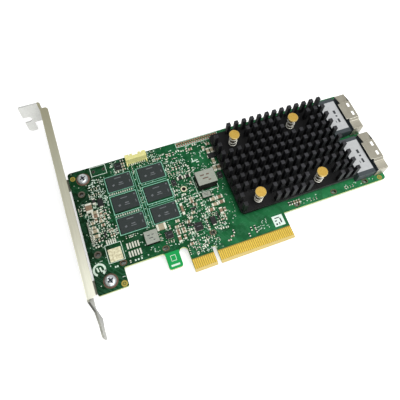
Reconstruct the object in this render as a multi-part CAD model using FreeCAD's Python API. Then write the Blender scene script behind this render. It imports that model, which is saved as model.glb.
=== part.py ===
import FreeCAD, Part
import math
import os

from FreeCAD import Vector

os.makedirs("parts", exist_ok=True)

# A low profile storage controller card on a full height bracket. X runs from the bracket to the
# cable ports, Y from the edge connector up, and Z out of the component side. The origin lies at
# the middle of the key notch, on the lower edge of the edge connector, in the component face.

# Board
board_thick = 1.57
board_left = -57.15
board_top = 68.90
board_step = 13.20
corner_round = 1.6
bracket_leg_right = -42.80
bracket_leg_bottom = 4.20
hook_left = -23.25
hook_width = 6.75
hook_round = 1.20
hook_bottom = 4.65
slot_half_width = 0.75
slot_half_length = 1.10
slot_row = 2.10
hole_diameter = 2.00
hole_column = 4.40

# Edge connector
tongue_left = -12.15
tongue_right = 39.15
key_width = 1.90
key_height = 9.00
contact_pitch = 1.00
contact_width = 0.70
contact_start = 1.30
contact_end = 5.85
contact_thick = 0.05
contacts_before_key = 11
contacts_after_key = 38
bevel_depth = 0.45
bevel_height = 1.20

# Bracket
sheet = 0.86
bracket_gap = 2.49
plate_width = 18.42
bracket_low = -15.02
bracket_length = 120.02
tongue_length = 9.82
tab_reach = 10.30
tab_width = 21.59
tab_foot = 4.60
tab_round = 2.80
tab_foot_round = 0.60
tab_top_round = 1.00
slot_half = 2.21
slot_reach = 4.20
slot_centre_z = 4.90
relief_z = 1.60
flange_width = 4.05
flange_round = 1.60
flange_low_gap = 5.70
flange_top_gap = 4.20
tongue_width = 10.19
tongue_low_z = 0.60
tongue_jog = 1.75
jog_length = 5.00
taper_length = 5.00
tongue_shoulder_round = 0.80
tongue_neck_round = 1.50
tongue_tip_round = 1.80
tongue_heel_round = 1.00
bend_inner = 0.35
ear_width = 6.60
ear_reach = 12.85
ear_round = 2.00

# Bracket screws
screw_inset = 6.95
screw_low_y = 9.05
screw_high_y = 63.35
screw_shank = 2.90
screw_hole = 3.20
screw_head = 5.40
screw_head_height = 1.90
screw_length = 3.70
recess_reach = 0.30
recess_width = 0.70
thread_clearance = 0.05

# Heatsink
sink_inset = 75.15
sink_width = 63.60
sink_low = 18.00
sink_height = 46.70
sink_corner = 1.20
sink_base_thick = 2.20
sink_top_z = 13.00
fin_columns = 15
fin_rows = 10
fin_size = 1.90
fin_margin = 0.50

# Push pins that hold the heatsink
pin_inset_x = 10.30
pin_span_x = 33.10
pin_inset_y = 4.60
pin_span_y = 33.60
pin_head = 5.30
pin_head_thick = 1.10
pin_head_z = 13.80
pin_shaft = 2.60
pin_clearance = 0.30
pin_barb = 3.60
pin_barb_height = 2.00
pin_barb_shoulder = 0.40
pin_prong = 1.70
pin_slit = 0.50
spring_outer = 4.40
spring_wire = 0.60
spring_turns = 4
spring_end_pitch = 0.72

# Controller under the heatsink
package_size = 27.00
package_thick = 1.20
lid_size = 24.00
lid_thick = 1.10
pad_size = 22.00
pad_thick = 0.30

# Memory
memory_width = 12.60
memory_height = 8.10
memory_thick = 1.15
memory_inset = 23.85
memory_pitch_x = 16.70
memory_low_y = 32.70
memory_pitch_y = 11.50

# Cable ports
port_low = 16.40
port_pitch = 26.00
port_width = 22.60
port_overhang = 0.20
port_sink_gap = 0.20
housing_length = 9.70
housing_top = 6.20
housing_fit = 0.20
housing_side = 0.10
tail_gaps = 5
tail_gap_first = 3.00
tail_gap_pitch = 4.00
tail_gap_width = 1.60
tail_gap_depth = 1.50
tail_gap_height = 1.20
neck_top = 4.40
cavity_depth = 4.50
floor_thick = 0.80
shell_length = 5.70
shell_top = 6.90
shell_wall = 0.30
shell_raise = 1.10
shell_round = 0.50
raise_start = 6.00
raise_width = 11.00
raise_slope = 1.00
window_length = 2.40
window_width = 1.30
window_first = 3.00
window_second = 8.60
roof_tongue_inset = 0.40
roof_tongue = 1.50
port_contact_rear = 0.20
port_contact_tip = 0.40
blade_reach = 3.40
blade_inset = 1.60
blade_thick = 1.00
blade_z = 3.20
port_contacts = 18
port_contact_pitch = 0.80
port_contact_width = 0.40
label_length = 9.20
label_height = 18.00
label_thick = 0.10
label_inset = 0.20
leg_width = 1.20
leg_inset = 1.00
leg_drop = 0.90
leg_clearance = 0.15

# Battery header on the top edge
header_inset = 30.05
header_width = 10.90
header_depth = 3.10
header_setback = 1.55
header_top_z = 5.00
header_wall = 0.70
header_back_wall = 1.00
latch_width = 2.90
latch_depth = 1.10
latch_drop = 1.50
latch_key_width = 0.50
latch_key_depth = 0.80
latch_key_inset = 2.20
header_wing_width = 0.70
header_wing_length = 1.40
header_wing_height = 1.60
header_pins = 9
header_pitch = 1.00
header_pin = 0.40
header_pin_z = 2.00
header_foot_length = 1.10
header_foot_thick = 0.35

# Power inductors: left side from the board's left edge, low, width, height and top
coil_large = (60.25, 38.00, 9.80, 7.70, 6.50)
coil_small = (27.35, 18.90, 6.40, 6.40, 3.00)
coil_mini = (60.85, 33.20, 4.20, 2.80, 1.90)
coil_edge = 0.35

# Small packages: centre from the board's left edge, size and thickness
chip_regulator = (38.95, 21.00, 3.60, 3.60, 0.85)
chip_monitor = (53.65, 20.40, 4.00, 4.00, 0.85)
chip_charger = (25.55, 64.60, 3.60, 3.60, 0.85)
chip_flash = (49.75, 46.50, 2.20, 3.20, 0.75)
chip_clock = (73.55, 43.20, 2.60, 3.40, 0.90)

# Passive parts: length, width and thickness by case size
case_large = (3.20, 1.60, 1.00)
case_middle = (2.00, 1.25, 0.80)
case_small = (1.60, 0.80, 0.60)
case_tiny = (1.00, 0.50, 0.35)
diode_body = (4.60, 2.60, 1.50)
transistor_body = (2.90, 1.50, 0.95)

# Square inspection sticker
sticker_left = 32.10
sticker_low = 7.60
sticker_size = 5.50
sticker_thick = 0.10

# Values that follow from the sizes above
hook_right = hook_left + hook_width
plate_inner = board_left - bracket_gap
plate_outer = plate_inner - sheet
ear_low_z = -board_thick - sheet
plate_low_z = ear_low_z
plate_high_z = plate_low_z + plate_width
bracket_top = bracket_low + bracket_length
plate_bottom = bracket_low + tongue_length
jog_top = plate_bottom + jog_length
flange_bottom = plate_bottom + flange_low_gap
flange_top = bracket_top - flange_top_gap
screw_x = board_left + screw_inset
sink_left = board_left + sink_inset
pin_left = sink_left + pin_inset_x
pin_low = sink_low + pin_inset_y
tab_low_z = plate_high_z - tab_width
screws = [(screw_x, screw_low_y), (screw_x, screw_high_y)]
pin_columns_x = (pin_left, pin_left + pin_span_x)
pin_rows_y = (pin_low, pin_low + pin_span_y)
push_pins = [(x, y) for y in pin_rows_y for x in pin_columns_x]
lid_z = package_thick
pad_z = lid_z + lid_thick
sink_base_z = pad_z + pad_thick
sink_plate_z = sink_base_z + sink_base_thick
chip_centre_x = pin_left + pin_span_x / 2
chip_centre_y = pin_low + pin_span_y / 2
port_lows = (port_low, port_low + port_pitch)
housing_rear = sink_left + sink_width + port_sink_gap
shell_rear = housing_rear + housing_length + roof_tongue
shell_front = shell_rear + shell_length
board_right = shell_front - port_overhang
header_left = board_left + header_inset
header_low = board_top - header_setback - header_depth
legs_x = (shell_rear + leg_width, shell_front - leg_width - leg_inset)
cavity_rear = shell_front - cavity_depth


def outline(corners):
    """A closed wire in the XY plane through (x, y, radius) corners, rounded where radius > 0."""
    points = [Vector(x, y, 0) for x, y, radius in corners]
    ends = []
    for i, (x, y, radius) in enumerate(corners):
        here = points[i]
        back = (points[i - 1] - here).normalize()
        ahead = (points[(i + 1) % len(points)] - here).normalize()
        if radius == 0:
            ends.append((here, here, here))
            continue
        half = back.getAngle(ahead) / 2
        run = radius / math.tan(half)
        middle = here + (back + ahead).normalize() * (radius / math.sin(half) - radius)
        ends.append((here + back * run, middle, here + ahead * run))
    edges = []
    for i, (start, middle, end) in enumerate(ends):
        if (end - start).Length > 1e-6:
            edges.append(Part.Arc(start, middle, end).toShape())
        following = ends[(i + 1) % len(ends)][0]
        if (following - end).Length > 1e-6:
            edges.append(Part.makeLine(end, following))
    return Part.Wire(edges)


def slab(corners, low, high):
    """Corners in XY, from z = low to z = high."""
    face = Part.Face(outline(corners))
    face.translate(Vector(0, 0, low))
    return face.extrude(Vector(0, 0, high - low))


def slab_across_x(corners, low, high):
    """Corners given as (y, z, radius), from x = low to x = high."""
    shape = slab(corners, low, high)
    shape.rotate(Vector(), Vector(1, 1, 1), 120)
    return shape


def slab_across_y(corners, low, high):
    """Corners given as (x, z, radius), from y = low to y = high."""
    shape = slab(corners, -high, -low)
    shape.rotate(Vector(), Vector(1, 0, 0), 90)
    return shape


def box(left, right, low, high, bottom, top):
    return Part.makeBox(right - left, high - low, top - bottom, Vector(left, low, bottom))


def rectangle(left, right, low, high, radius=0.0):
    return [(left, low, radius), (right, low, radius), (right, high, radius), (left, high, radius)]


def lozenge(x, y, half_x, half_y, bottom, top):
    """A short slot with its ends cut to 45 degrees."""
    end = half_x - half_y / 2
    side = half_y / 2
    points = [(-half_x, -side), (-end, -half_y), (end, -half_y), (half_x, -side),
              (half_x, side), (end, half_y), (-end, half_y), (-half_x, side)]
    return slab([(x + a, y + b, 0) for a, b in points], bottom, top)


def rod(x, y, bottom, top, diameter):
    return Part.makeCylinder(diameter / 2, top - bottom, Vector(x, y, bottom))


def light_rod(x, y, bottom, top, diameter):
    """A thin rod or small hole, twelve sided so that its many narrow walls stay light."""
    angles = [math.radians(30 * i) for i in range(12)]
    corners = [(x + diameter / 2 * math.cos(a), y + diameter / 2 * math.sin(a), 0) for a in angles]
    return slab(corners, bottom, top)


def pin_hole(x, y, bottom, top):
    return light_rod(x, y, bottom, top, pin_shaft + 2 * pin_clearance)


def turned(x, y, profile):
    """A solid of revolution about a vertical axis, from (radius, z) points."""
    points = [Vector(radius, 0, z) for radius, z in profile]
    face = Part.Face(Part.makePolygon(points + points[:1]))
    shape = face.revolve(Vector(), Vector(0, 0, 1), 360)
    shape.translate(Vector(x, y, 0))
    return shape


def save(name, shapes):
    shapes = shapes if isinstance(shapes, list) else [shapes]
    solids = [solid for shape in shapes for solid in shape.Solids]
    result = solids[0] if len(solids) == 1 else Part.makeCompound(solids)
    result.exportStep("parts/" + name + ".step")
    print(name, len(solids), round(result.Volume, 2))


# Circuit board with its edge connector

def tooling_slots():
    """Plated slots in a row above the lower step of the board."""
    row_y = board_step + slot_row
    return [(x, row_y) for x in (bracket_leg_right + 0.3, hook_left + 1.45, tongue_left + 14.25,
                                 tongue_right + 8.25, tongue_right + 29.25, board_right - 11.7)]


def round_holes():
    """Centres of the plated round holes: two beside the bracket and one beside the memory."""
    return [(board_left + inset, y) for inset, y in ((hole_column, 22.9), (hole_column, 55.5),
                                                     (53.45, 41.8))]


def shell_leg_places():
    return [(x, low + side) for low in port_lows for x in legs_x
            for side in (shell_wall / 2, port_width - shell_wall / 2)]


def board():
    gap_round = (tongue_left - hook_right) / 2 - 0.01
    corners = [
        (board_left, bracket_leg_bottom, 0.8),
        (bracket_leg_right, bracket_leg_bottom, 0.8),
        (bracket_leg_right, board_step, 0.8),
        (hook_left, board_step, hook_round),
        (hook_left, hook_bottom, hook_round),
        (hook_right, hook_bottom, hook_round),
        (hook_right, board_step, gap_round),
        (tongue_left, board_step, gap_round),
        (tongue_left, 0, 0),
        (-key_width / 2, 0, 0),
        (-key_width / 2, key_height, key_width / 2 - 0.01),
        (key_width / 2, key_height, key_width / 2 - 0.01),
        (key_width / 2, 0, 0),
        (tongue_right, 0, 0),
        (tongue_right, board_step, 0),
        (board_right, board_step, corner_round),
        (board_right, board_top, corner_round),
        (board_left, board_top, corner_round),
    ]
    shape = slab(corners, -board_thick, 0)
    cuts = [light_rod(x, y, -board_thick, 0, screw_hole) for x, y in screws]
    cuts += [pin_hole(x, y, -board_thick, 0) for x, y in push_pins]
    cuts += [light_rod(x, y, -board_thick, 0, hole_diameter) for x, y in round_holes()]
    for x, y in tooling_slots():
        cuts.append(lozenge(x, y, slot_half_length, slot_half_width, -board_thick, 0))
    for x, y in shell_leg_places():
        half_x = leg_width / 2 + leg_clearance
        half_y = shell_wall / 2 + leg_clearance
        cuts.append(box(x - half_x, x + half_x, y - half_y, y + half_y, -board_thick, 0))
    for face, depth in ((0, -bevel_depth), (-board_thick, bevel_depth)):
        wedge = [(0, face, 0), (0, face + depth, 0), (bevel_height, face, 0)]
        cuts.append(slab_across_x(wedge, tongue_left, tongue_right))
    return shape.cut(cuts)


def contact_columns():
    first = key_width / 2 + 0.55
    before = [-first - i * contact_pitch for i in range(contacts_before_key)]
    after = [first + i * contact_pitch for i in range(contacts_after_key)]
    return before + after


def edge_contacts(bottom):
    """Flat gold pads on one face of the edge connector."""
    half = contact_width / 2
    return [box(x - half, x + half, contact_start, contact_end, bottom, bottom + contact_thick)
            for x in contact_columns()]


# Folded bracket

def folded_plate():
    """The plate with its stiffening flange along the component side."""
    outer = bend_inner + sheet
    section = [
        (plate_outer, plate_low_z, 0),
        (plate_inner, plate_low_z, 0),
        (plate_inner, plate_high_z - sheet, bend_inner),
        (plate_outer + flange_width, plate_high_z - sheet, 0),
        (plate_outer + flange_width, plate_high_z, 0),
        (plate_outer, plate_high_z, outer),
    ]
    return slab_across_y(section, flange_bottom, flange_top)


def rounded_flange_ends():
    """Waste outside the two rounded corners of the flange."""
    edge = plate_outer + flange_width
    keep = slab([(plate_outer - 1, flange_bottom, 0), (edge, flange_bottom, flange_round),
                 (edge, flange_top, flange_round), (plate_outer - 1, flange_top, 0)],
                plate_high_z - sheet - 1, plate_high_z + 1)
    around = box(plate_inner + bend_inner, edge + 1, flange_bottom - 1, flange_top + 1,
                 plate_high_z - sheet - 0.1, plate_high_z + 0.1)
    return around.cut(keep)


def flat_plate():
    """The flat parts above and below the flange, in the plane of the plate."""
    shoulder_high = plate_high_z - sheet - bend_inner
    upper = box(plate_outer, plate_inner, flange_top, bracket_top - sheet - bend_inner,
                plate_low_z, plate_high_z)
    lower = box(plate_outer, plate_inner, jog_top, flange_bottom, plate_low_z, shoulder_high)
    return [upper, lower]


def top_tab():
    """The fastening tab, folded away from the card, with its open screw slot and relief notch."""
    outer = bend_inner + sheet
    tab_end = plate_outer - tab_reach
    fold_end = plate_outer - bend_inner
    fold = slab([
        (plate_inner, flange_top, 0),
        (plate_outer, flange_top, 0),
        (plate_outer, bracket_top - sheet, bend_inner),
        (fold_end, bracket_top - sheet, 0),
        (fold_end, bracket_top, 0),
        (plate_inner, bracket_top, outer),
    ], relief_z, plate_high_z)
    flat = slab_across_y([
        (tab_end, tab_low_z, tab_round),
        (tab_end + tab_foot, tab_low_z, tab_foot_round),
        (tab_end + tab_foot, relief_z, 0),
        (fold_end, relief_z, 0),
        (fold_end, plate_high_z, 0),
        (tab_end, plate_high_z, tab_top_round),
    ], bracket_top - sheet, bracket_top)
    slot_low = slot_centre_z - slot_half
    slot_high = slot_centre_z + slot_half
    slot = slab_across_y([
        (tab_end - slot_half, slot_low, 0),
        (tab_end + slot_reach, slot_low, slot_half - 0.01),
        (tab_end + slot_reach, slot_high, slot_half - 0.01),
        (tab_end - slot_half, slot_high, 0),
    ], bracket_top - 2 * sheet, bracket_top + sheet)
    return fold.fuse(flat).cut(slot)


def tongue():
    """The lower tongue: set off toward the card, tapered from the plate and bluntly pointed."""
    low = tongue_low_z
    high = tongue_low_z + tongue_width
    taper_end = plate_bottom - taper_length
    shoulder_high = plate_high_z - sheet - bend_inner
    blade = [
        (jog_top, plate_low_z, 0),
        (jog_top, shoulder_high, 0),
        (plate_bottom, shoulder_high, tongue_shoulder_round),
        (taper_end, high, tongue_neck_round),
        (bracket_low, high, tongue_tip_round),
        (bracket_low, low, tongue_heel_round),
        (taper_end, low, tongue_neck_round),
        (plate_bottom, plate_low_z, tongue_shoulder_round),
    ]
    side = [
        (plate_outer, jog_top, 0),
        (plate_inner, jog_top, 0),
        (plate_inner + tongue_jog, plate_bottom, 0),
        (plate_inner + tongue_jog, bracket_low, 0),
        (plate_outer + tongue_jog, bracket_low, 0),
        (plate_outer + tongue_jog, plate_bottom, 0),
    ]
    width = slab_across_x(blade, plate_outer - 1, plate_inner + tongue_jog + 1)
    return slab(side, plate_low_z, shoulder_high).common(width)


def ears():
    """Two ears folded under the board, each with the hole of its screw."""
    outer = bend_inner + sheet
    section = [
        (plate_outer, ear_low_z + 2 * outer, 0),
        (plate_inner, ear_low_z + 2 * outer, 0),
        (plate_inner, ear_low_z + sheet, bend_inner),
        (plate_outer + ear_reach, ear_low_z + sheet, 0),
        (plate_outer + ear_reach, ear_low_z, 0),
        (plate_outer, ear_low_z, outer),
    ]
    made = []
    for x, y in screws:
        ear = slab_across_y(section, y - ear_width / 2, y + ear_width / 2)
        tip = slab(rectangle(plate_outer - 1, plate_outer + ear_reach, y - ear_width / 2,
                             y + ear_width / 2, ear_round), ear_low_z - 1, ear_low_z + 4)
        whole = box(plate_outer, plate_inner + 1, y - ear_width / 2, y + ear_width / 2,
                    ear_low_z - 1, ear_low_z + 4)
        hole = light_rod(x, y, ear_low_z - 1, ear_low_z + 2, screw_shank + 2 * thread_clearance)
        made.append(ear.common(tip.fuse(whole)).cut(hole))
    return made


def bracket():
    plate = folded_plate().cut(rounded_flange_ends())
    bend = sheet + bend_inner
    ear_bends = [box(plate_outer, plate_outer + bend, y - ear_width / 2, y + ear_width / 2,
                     ear_low_z, ear_low_z + bend) for x, y in screws]
    plate = plate.cut(ear_bends)
    whole = plate.fuse(flat_plate() + [top_tab(), tongue()] + ears())
    return whole.removeSplitter()


def bracket_screw(x, y):
    """A pan head machine screw with a cross recess."""
    radius = screw_head / 2
    profile = [(0, 0), (radius, 0), (radius, 0.5 * screw_head_height),
               (0.7 * radius, screw_head_height), (0, screw_head_height)]
    shank = light_rod(x, y, -screw_length, 0, screw_shank)
    recess_z = 0.35 * screw_head_height
    reach = recess_reach * screw_head
    wing = recess_width / 2
    across = box(x - reach, x + reach, y - wing, y + wing, recess_z, screw_head_height)
    along = box(x - wing, x + wing, y - reach, y + reach, recess_z, screw_head_height)
    return turned(x, y, profile).cut([across, along]).fuse(shank).removeSplitter()


# Controller, heatsink and the pins that hold it

def centred_block(x, y, size_x, size_y, bottom, top, radius=0.0):
    return slab(rectangle(x - size_x / 2, x + size_x / 2, y - size_y / 2, y + size_y / 2, radius),
                bottom, top)


def fin_places():
    """Fin centres. The fins next to a push pin and at the corner over the header are left out."""
    first_x = sink_left + fin_margin + fin_size / 2
    last_x = sink_left + sink_width - fin_margin - fin_size / 2
    first_y = sink_low + fin_margin + fin_size / 2
    last_y = sink_low + sink_height - fin_margin - fin_size / 2
    step_x = (last_x - first_x) / (fin_columns - 1)
    step_y = (last_y - first_y) / (fin_rows - 1)
    places = []
    for row in range(fin_rows):
        for column in range(fin_columns):
            x = first_x + column * step_x
            y = first_y + row * step_y
            beside_pin = any(abs(x - px) < 1.35 * step_x and abs(y - py) < 0.85 * step_y
                             for px, py in push_pins)
            cut_corner = row == fin_rows - 1 and column < 2
            if not beside_pin and not cut_corner:
                places.append((x, y))
    return places


def heatsink():
    base = slab(rectangle(sink_left, sink_left + sink_width, sink_low, sink_low + sink_height),
                sink_base_z, sink_plate_z)
    upright = [edge for edge in base.Edges
               if abs(edge.Vertexes[0].Point.z - edge.Vertexes[1].Point.z) > 1e-6]
    base = base.makeChamfer(sink_corner, upright)
    holes = [pin_hole(x, y, sink_base_z, sink_plate_z) for x, y in push_pins]
    fins = [centred_block(x, y, fin_size, fin_size, sink_plate_z, sink_top_z) for x, y in fin_places()]
    return base.cut(holes).fuse(fins)


def push_pin(x, y):
    """A brass pin: flat head, shaft and the split barbed tip that snaps in under the board."""
    head_bottom = pin_head_z - pin_head_thick
    head = rod(x, y, head_bottom, pin_head_z, pin_head)
    shaft = light_rod(x, y, -board_thick, head_bottom, pin_shaft)
    shoulder_z = -board_thick - pin_barb_shoulder
    tip_z = -board_thick - pin_barb_height
    barb = pin_barb / 2
    slit = pin_slit / 2
    prongs = []
    for side in (-1, 1):
        corners = [(x + side * slit, -board_thick, 0), (x + side * barb, -board_thick, 0),
                   (x + side * barb, shoulder_z, 0), (x + side * 2 * slit, tip_z, 0),
                   (x + side * slit, tip_z, 0)]
        prongs.append(slab_across_y(corners, y - pin_prong / 2, y + pin_prong / 2))
    return head.fuse([shaft] + prongs)


def spring(x, y):
    """A coil spring with closed ends between the heatsink and the head of its push pin."""
    radius = (spring_outer - spring_wire) / 2
    half = spring_wire / 2
    low = sink_plate_z + half
    high = pin_head_z - pin_head_thick - half
    open_pitch = (high - low - 2 * spring_end_pitch) / (spring_turns - 2)
    steps_a_turn = 8
    sections = []
    for i in range(spring_turns * steps_a_turn + 1):
        turn = i / steps_a_turn
        opened = min(max(turn - 1, 0), spring_turns - 2)
        z = low + opened * open_pitch + (turn - opened) * spring_end_pitch
        around = 2 * math.pi * turn
        outward = Vector(math.cos(around), math.sin(around), 0)
        centre = Vector(x, y, z) + outward * radius
        corners = [centre + outward * half, centre + Vector(0, 0, half),
                   centre - outward * half, centre - Vector(0, 0, half)]
        sections.append(Part.makePolygon(corners + corners[:1]))
    return Part.makeLoft(sections, True, True)


# Cable ports

def housing(low):
    """The moulded body of a port: rear block, low neck, the wall in the shell and the blade."""
    high = low + port_width
    inside = shell_wall + housing_fit
    rear_end = housing_rear + housing_length
    rear = box(housing_rear, rear_end, low + housing_side, high - housing_side, 0, housing_top)
    neck = box(rear_end, shell_rear, low + inside, high - inside, 0, neck_top)
    nose = box(shell_rear, cavity_rear, low + inside, high - inside, 0, shell_top - inside)
    blade = box(cavity_rear, cavity_rear + blade_reach, low + blade_inset, high - blade_inset,
                blade_z - blade_thick / 2, blade_z + blade_thick / 2)
    floor = box(cavity_rear, shell_front - housing_fit, low + inside, high - inside, 0, floor_thick)
    starts = [low + tail_gap_first + i * tail_gap_pitch for i in range(tail_gaps)]
    gaps = [box(housing_rear, housing_rear + tail_gap_depth, start, start + tail_gap_width,
                0, tail_gap_height) for start in starts]
    return rear.fuse([neck, nose, blade, floor]).cut(gaps).removeSplitter()


def roof_section(low, offset):
    """The outer line of the shell in (y, z), raised in the middle, moved in by offset."""
    high = low + port_width
    start = low + raise_start
    end = start + raise_width
    flat = shell_top - offset
    raised = flat + shell_raise
    return [(low + offset, 0, 0), (high - offset, 0, 0), (high - offset, flat, shell_round),
            (end + raise_slope / 3, flat, 0), (end, raised, 0), (start, raised, 0),
            (start - raise_slope, flat, 0), (low + offset, flat, shell_round)]


def shell(low):
    """The sprung metal shell round the mouth: folded sheet with a raised latch roof."""
    outer = slab_across_x(roof_section(low, 0), shell_rear, shell_front)
    inner = slab_across_x(roof_section(low, shell_wall), shell_rear - 1, shell_front + 1)
    start = low + raise_start
    end = start + raise_width
    roof_tab = box(shell_rear - roof_tongue, shell_rear + 1, start + roof_tongue_inset,
                   end - roof_tongue_inset, shell_top + shell_raise - shell_wall,
                   shell_top + shell_raise)
    windows = [box(shell_front - 2 * window_width, shell_front - window_width,
                   start + at - window_length / 2, start + at + window_length / 2,
                   shell_top, shell_top + shell_raise + 1) for at in (window_first, window_second)]
    made = outer.cut(inner).cut(windows).fuse(roof_tab)
    legs = [box(x - leg_width / 2, x + leg_width / 2, low + side - shell_wall / 2,
                low + side + shell_wall / 2, -board_thick - leg_drop, 0.5)
            for x in legs_x for side in (shell_wall / 2, port_width - shell_wall / 2)]
    return made.fuse(legs).removeSplitter()


def port_contact_rows(low):
    """The sprung contacts' visible strips on both faces of the blade."""
    first = low + port_width / 2 - (port_contacts - 1) * port_contact_pitch / 2
    left = cavity_rear + port_contact_rear
    right = cavity_rear + blade_reach - port_contact_tip
    half = port_contact_width / 2
    made = []
    for i in range(port_contacts):
        y = first + i * port_contact_pitch
        for face in (blade_z + blade_thick / 2, blade_z - blade_thick / 2 - contact_thick):
            made.append(box(left, right, y - half, y + half, face, face + contact_thick))
    return made


def port_label(low):
    left = housing_rear + label_inset
    start = low + (port_width - label_height) / 2
    return box(left, left + label_length, start, start + label_height, housing_top,
               housing_top + label_thick)


# Header for the backup module's cable

def header_pin_columns():
    first = header_left + header_width / 2 - (header_pins - 1) * header_pitch / 2
    return [first + i * header_pitch for i in range(header_pins)]


def header_body():
    """A side entry shroud whose mouth faces the top edge of the board."""
    right = header_left + header_width
    high = header_low + header_depth
    body = box(header_left, right, header_low, high, 0, header_top_z)
    mouth = box(header_left + header_wall, right - header_wall, header_low + header_back_wall,
                high + 1, header_wall, header_top_z - header_wall)
    middle = (header_left + right) / 2
    cut_z = header_top_z - latch_drop
    latch = box(middle - latch_width / 2, middle + latch_width / 2, high - latch_depth, high + 1,
                cut_z, header_top_z + 1)
    keys = [box(x, x + latch_key_width, high - latch_key_depth, high + 1, cut_z, header_top_z + 1)
            for x in (header_left + latch_key_inset, right - latch_key_inset - latch_key_width)]
    wings = [box(x, x + header_wing_width, header_low - header_wing_length, header_low,
                 0, header_wing_height) for x in (header_left, right - header_wing_width)]
    return body.cut([mouth, latch] + keys).fuse(wings).removeSplitter()


def header_contacts():
    """Pins through the rear wall of the shroud, each with its solder foot behind it."""
    half = header_pin / 2
    made = []
    for x in header_pin_columns():
        pin = box(x - half, x + half, header_low + header_back_wall,
                  header_low + header_depth - header_pin, header_pin_z, header_pin_z + header_pin)
        foot = box(x - half, x + half, header_low - header_foot_length, header_low,
                   0, header_foot_thick)
        made += [pin, foot]
    return made


# Wound parts and small packages

def coil_body(inset, low, width, height, top):
    left = board_left + inset
    block = box(left, left + width, low, low + height, 0, top)
    rim = [edge for edge in block.Edges
           if any(abs(v.Point.z) > 1e-6 for v in edge.Vertexes)]
    return block.makeChamfer(coil_edge, rim)


def package(inset, y, size_x, size_y, thick):
    return centred_block(board_left + inset, y, size_x, size_y, 0, thick)


def memory_places():
    first = board_left + memory_inset
    return [(first + column * memory_pitch_x, memory_low_y + row * memory_pitch_y)
            for row in range(3) for column in range(2)]


# Rows of soldered parts: first centre, count, step and whether each lies along X.
# x is from the board's left edge, or from the left of the edge connector where the part is on it.

large_capacitors = [
    (34.95, 26.1, 3, (1.6, 0.0), False), (6.15, 45.3, 3, (0.0, 1.6), True),
    (8.25, 41.7, 2, (0.0, 1.9), True), (6.15, 31.6, 2, (0.0, 2.7), True),
    (62.65, 26.5, 1, (0.0, 0.0), True), (67.05, 24.5, 1, (0.0, 0.0), False),
    (65.35, 28.6, 2, (0.0, 3.0), True), (68.85, 28.9, 2, (0.0, 2.8), True),
    (72.55, 58.3, 2, (2.2, 0.0), False), (73.35, 51.8, 1, (0.0, 0.0), False),
    (72.45, 47.6, 2, (2.2, 0.0), False), (43.15, 17.4, 1, (0.0, 0.0), False),
]
middle_capacitors = [
    (10.95, 42.2, 1, (0.0, 0.0), False), (5.95, 38.6, 1, (0.0, 0.0), True),
    (10.15, 38.4, 1, (0.0, 0.0), True), (5.95, 36.2, 1, (0.0, 0.0), True),
    (10.55, 36.2, 1, (0.0, 0.0), True), (7.95, 39.8, 1, (0.0, 0.0), False),
    (43.55, 20.2, 2, (0.0, 1.5), True), (46.35, 20.2, 2, (0.0, 1.5), True),
    (43.75, 23.6, 1, (0.0, 0.0), True), (45.95, 17.6, 1, (0.0, 0.0), False),
    (44.85, 26.4, 1, (0.0, 0.0), True), (49.15, 29.6, 3, (0.0, 2.0), False),
    (49.95, 24.2, 1, (0.0, 0.0), True), (51.55, 25.8, 1, (0.0, 0.0), True),
    (54.95, 33.8, 2, (0.0, 1.6), True), (55.95, 31.8, 1, (0.0, 0.0), True),
    (53.55, 28.0, 1, (0.0, 0.0), True), (69.05, 24.6, 1, (0.0, 0.0), False),
    (70.75, 60.8, 1, (0.0, 0.0), False), (73.95, 62.6, 1, (0.0, 0.0), True),
    (64.15, 62.4, 1, (0.0, 0.0), True),
]
middle_capacitors_on_tongue = [
    (2.85, 13.2, 1, (0.0, 0.0), True),
]
small_capacitors = [
    (5.35, 29.4, 3, (1.5, 0.0), False), (12.75, 32.4, 2, (1.3, 0.0), False),
    (12.95, 29.9, 2, (1.3, 0.0), False), (12.85, 41.6, 2, (0.0, 1.8), True),
    (10.35, 39.9, 2, (1.6, 0.0), False), (16.15, 30.8, 2, (0.0, 2.4), False),
    (28.15, 62.3, 4, (0.0, 1.7), True), (40.35, 24.6, 1, (0.0, 0.0), False),
    (45.55, 24.0, 2, (1.3, 0.0), False), (66.05, 18.2, 2, (0.0, 1.8), True),
    (67.95, 20.2, 2, (0.0, 1.8), False), (58.35, 18.0, 3, (0.0, 2.2), False),
    (100.75, 16.6, 5, (1.4, 0.0), False), (51.75, 54.4, 3, (1.7, 0.0), False),
    (57.95, 44.0, 1, (0.0, 0.0), False), (45.25, 62.4, 2, (1.9, 0.0), True),
    (51.15, 62.8, 3, (1.8, 0.0), False), (62.05, 62.6, 1, (0.0, 0.0), False),
]
small_capacitors_on_tongue = [
    (30.55, 8.2, 1, (0.0, 0.0), False), (32.55, 10.8, 1, (0.0, 0.0), False),
    (34.55, 9.0, 2, (0.0, 2.2), False), (20.55, 8.9, 1, (0.0, 0.0), True),
    (22.55, 10.4, 1, (0.0, 0.0), True), (23.85, 12.4, 1, (0.0, 0.0), False),
]
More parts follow.
